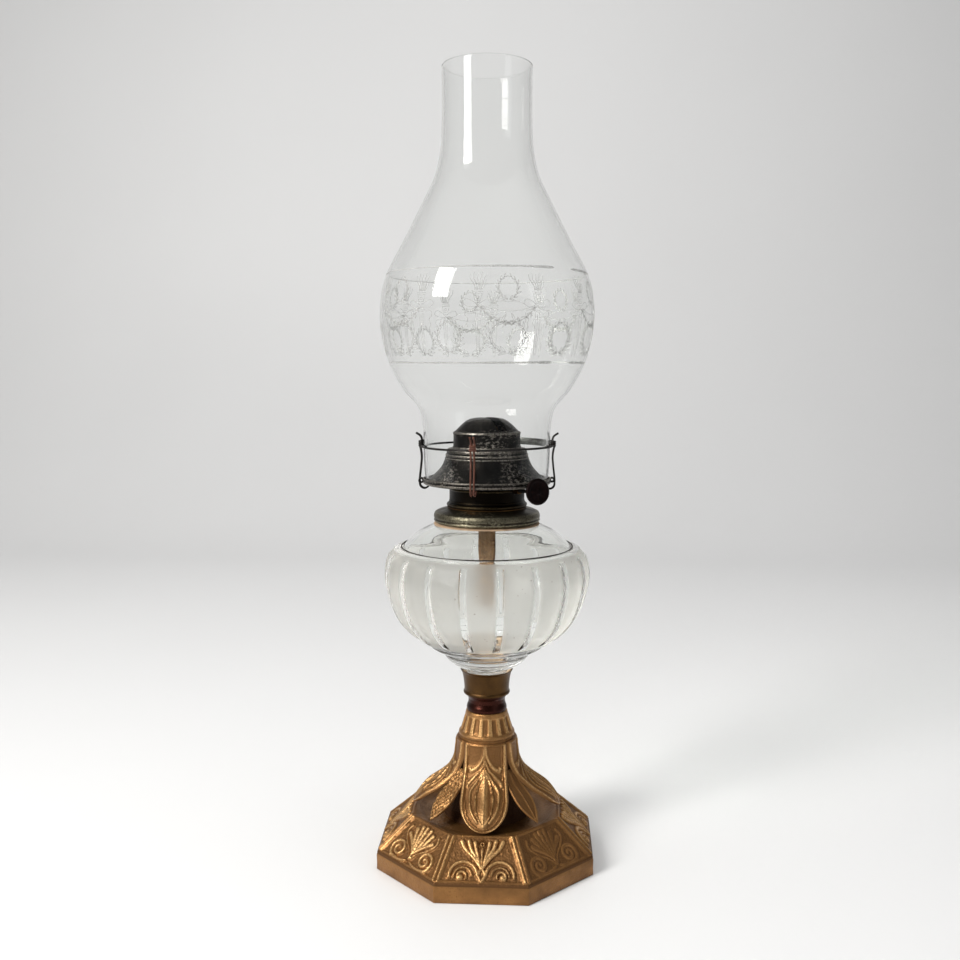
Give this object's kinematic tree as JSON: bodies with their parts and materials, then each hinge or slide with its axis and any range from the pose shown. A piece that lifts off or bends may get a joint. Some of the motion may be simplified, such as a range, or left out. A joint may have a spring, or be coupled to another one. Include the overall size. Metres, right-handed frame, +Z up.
{
  "type": "oil lamp",
  "caption": "Table oil lamp: octagonal cast foot with leaf stem, ribbed frosted glass font, flat-wick burner with wire chimney holder, bulged etched glass chimney.",
  "frame": {"origin": "middle of the foot's underside, on the lamp's axis", "axes": "+Z up along the lamp's axis; -Y is the front, square to one side of the octagonal foot"},
  "size_m": [0.132, 0.132, 0.481],
  "materials": {
    "bronze_paint": "gold bronze paint, worn, over cast iron",
    "dark_casting": "dark red-brown lacquer",
    "tie_steel": "plain steel, dull",
    "aged_brass": "aged spun brass",
    "font_glass": "pressed glass, frosted panels between clear ribs",
    "chimney_glass": "clear blown glass with a fine etched band",
    "plaster": "old collar plaster",
    "dark_brass": "tarnished dark brass",
    "sooted_brass": "sooted, oxidised brass",
    "spring_strip": "dull grey spring steel",
    "dark_wire": "blackened iron wire",
    "rust_wire": "rusted iron wire",
    "wick_cotton": "woven cotton, stained with oil"
  },
  "bodies": {
    "base": {"octagonal_foot": "bronze_paint", "leaf_stem": "bronze_paint", "tie_rod": "tie_steel", "tie_washer": "tie_steel", "tie_nut": "tie_steel", "spacer_ring": "dark_casting", "connector_cup": "aged_brass", "cup_plaster": "plaster", "font": "font_glass", "font_collar": "dark_brass", "collar_plaster": "plaster"},
    "burner_thread": {"burner_ferrule": "dark_brass"},
    "burner": {"burner_body": "dark_brass", "air_screen": "dark_brass", "gallery": "sooted_brass", "wick_tube": "dark_brass", "spur_housing": "dark_brass", "vent_tube": "dark_brass", "spindle_sleeve": "dark_brass", "holder_ring": "dark_wire", "holder_strip": "spring_strip", "holder_leg_front": "rust_wire", "holder_leg_right": "dark_wire", "holder_leg_back": "dark_wire", "holder_leg_left": "dark_wire"},
    "knob": {"wick_spindle": "dark_brass", "spur_wheels": "dark_brass", "thumb_knob": "dark_brass"},
    "wick": {"wick": "wick_cotton"},
    "deflector": {"deflector_bell": "sooted_brass", "deflector_dome": "sooted_brass"},
    "chimney": {"chimney": "chimney_glass"}
  },
  "joints": [
    {"name": "burner_rise", "type": "slide", "parent": "base", "child": "burner_thread", "axis": [0, 0, 1], "range_m": [0, 0.0074]},
    {"name": "burner_turn", "type": "hinge", "parent": "burner_thread", "child": "burner", "pos_m": [0, 0, 0.2225], "axis": [0, 0, 1], "range_deg": [0, 1260]},
    {"name": "knob_turn", "type": "hinge", "parent": "burner", "child": "knob", "pos_m": [0.00545, 0.00354, 0.231], "axis": [-0.543, 0.8361, -0.0785], "range_deg": [-220, 110]},
    {"name": "wick_feed", "type": "slide", "parent": "burner", "child": "wick", "axis": [0, 0, 1], "range_m": [-0.02, 0.01]},
    {"name": "deflector_lift", "type": "slide", "parent": "burner", "child": "deflector", "axis": [0, 0, 1], "range_m": [0, 0.025]},
    {"name": "chimney_lift", "type": "slide", "parent": "burner", "child": "chimney", "axis": [0, 0, 1], "range_m": [0, 0.06]}
  ],
  "couplings": [
    {"joint": "burner_rise", "follows": "burner_turn", "m_per_rad": 0.00033423},
    {"joint": "wick_feed", "follows": "knob_turn", "m_per_rad": 0.0052}
  ]
}
